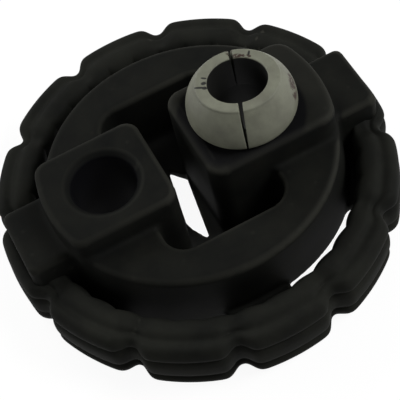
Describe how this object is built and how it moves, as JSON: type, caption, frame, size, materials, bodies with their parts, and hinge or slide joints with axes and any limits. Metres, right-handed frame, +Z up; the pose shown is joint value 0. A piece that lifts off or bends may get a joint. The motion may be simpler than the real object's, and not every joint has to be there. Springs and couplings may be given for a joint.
{
  "type": "exhaust hanger",
  "caption": "Round rubber exhaust hanger with a lobed outer band, an inner loop and two bored bosses, one of them fitted with a split dome-headed bush.",
  "frame": {"origin": "centre of the bounding box at the underside the hanger lies on", "axes": "+Z up along both bores; +X from the plain boss to the boss with the bush; Y across"},
  "size_m": [0.0878, 0.0888, 0.0361],
  "materials": {
    "rubber": "satin black moulded rubber",
    "bush": "satin grey plastic"
  },
  "bodies": {
    "root": {"rubber_hanger": "rubber", "split_bush": "bush"}
  },
  "joints": []
}
